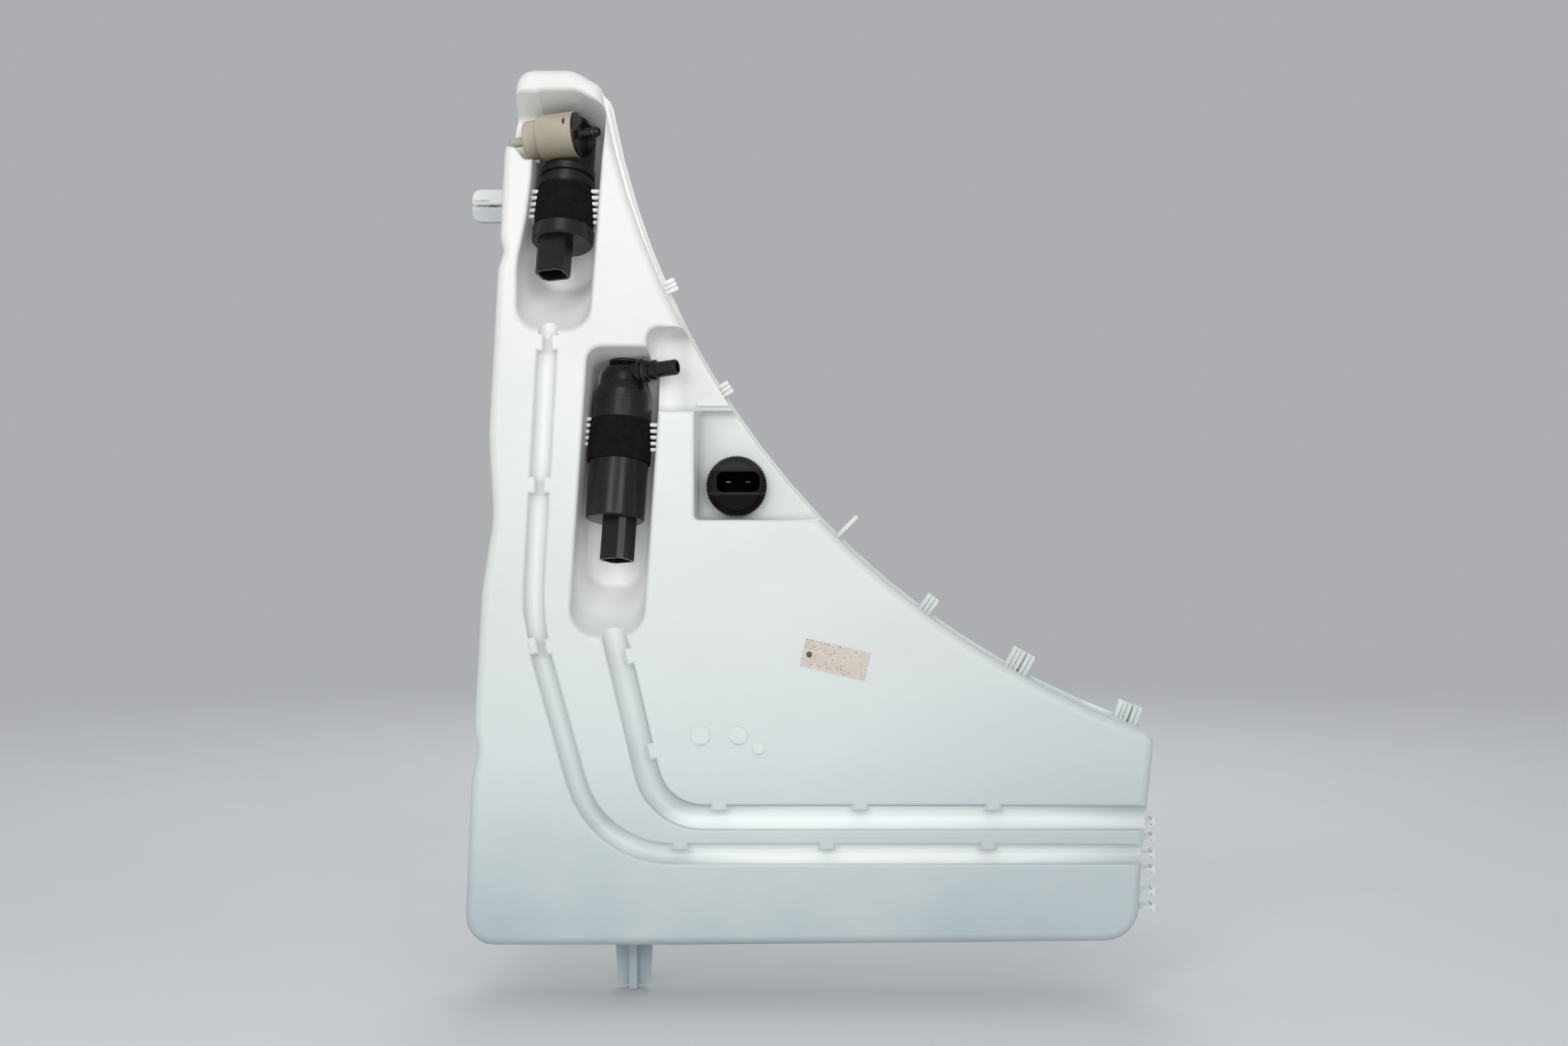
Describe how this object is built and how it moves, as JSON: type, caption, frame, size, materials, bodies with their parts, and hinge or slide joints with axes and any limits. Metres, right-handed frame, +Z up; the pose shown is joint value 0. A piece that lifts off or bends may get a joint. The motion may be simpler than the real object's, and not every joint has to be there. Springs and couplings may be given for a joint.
{
  "type": "washer fluid reservoir",
  "caption": "Moulded vehicle washer fluid tank with a concave wheel-arch edge, recessed windscreen and headlamp washer pumps, hose grooves and a level sensor.",
  "frame": {"origin": "root of the lower locating peg, on the weld plane between the two shells", "axes": "+Z up along the height of the tank as pictured, +X along its lower edge towards the arch end, -Y towards the side with the pumps"},
  "size_m": [0.4365, 0.1049, 0.5836],
  "materials": {
    "tank": "translucent natural polyethylene, satin, lightly soiled",
    "label": "bare aged sticker with a green dot, speckled",
    "black_plastic": "semi-gloss moulded black plastic",
    "beige_plastic": "natural acetal, slightly yellowed",
    "foam": "matt black felt-like foam sleeve",
    "rubber": "matt black rubber",
    "steel": "tinned or bare steel",
    "magnet": "dark sintered ferrite"
  },
  "bodies": {
    "reservoir": {"front_shell": "tank", "rear_shell": "tank", "label": "label", "washer_pump_housing": "black_plastic", "washer_pump_sleeve": "foam", "washer_pump_head": "black_plastic", "washer_pump_seal": "rubber", "washer_pump_valve_drum": "beige_plastic", "washer_pump_valve_cap": "black_plastic", "washer_pump_diaphragm": "rubber", "washer_pump_magnets": "magnet", "washer_pump_terminals": "steel", "washer_pump_grommet": "rubber", "washer_pump_strainer": "beige_plastic", "headlamp_pump_housing": "black_plastic", "headlamp_pump_sleeve": "foam", "headlamp_pump_head": "black_plastic", "headlamp_pump_seal": "rubber", "headlamp_pump_outlet_ring": "rubber", "headlamp_pump_magnets": "magnet", "headlamp_pump_terminals": "steel", "headlamp_pump_grommet": "rubber", "headlamp_pump_strainer": "beige_plastic", "level_sensor_body": "black_plastic", "level_sensor_terminals": "steel", "level_sensor_grommet": "rubber", "level_sensor_pin": "steel"},
    "washer_rotor": {"washer_pump_impeller": "beige_plastic", "washer_pump_rotor": "steel"},
    "headlamp_rotor": {"headlamp_pump_impeller": "beige_plastic", "headlamp_pump_rotor": "steel"},
    "float": {"level_sensor_float": "beige_plastic"}
  },
  "joints": [
    {"name": "washer_pump_spin", "type": "hinge", "parent": "reservoir", "child": "washer_rotor", "pos_m": [-0.0405, -0.039, 0.4578], "axis": [0.0417, 0.2924, 0.9554], "continuous": true},
    {"name": "headlamp_pump_spin", "type": "hinge", "parent": "reservoir", "child": "headlamp_rotor", "pos_m": [-0.0065, -0.032, 0.3131], "axis": [0.0512, 0.2079, 0.9768], "continuous": true},
    {"name": "level_float", "type": "hinge", "parent": "reservoir", "child": "float", "pos_m": [0.06664, 0.007, 0.2859], "axis": [1, 0, 0], "range_deg": [0, 85]}
  ]
}
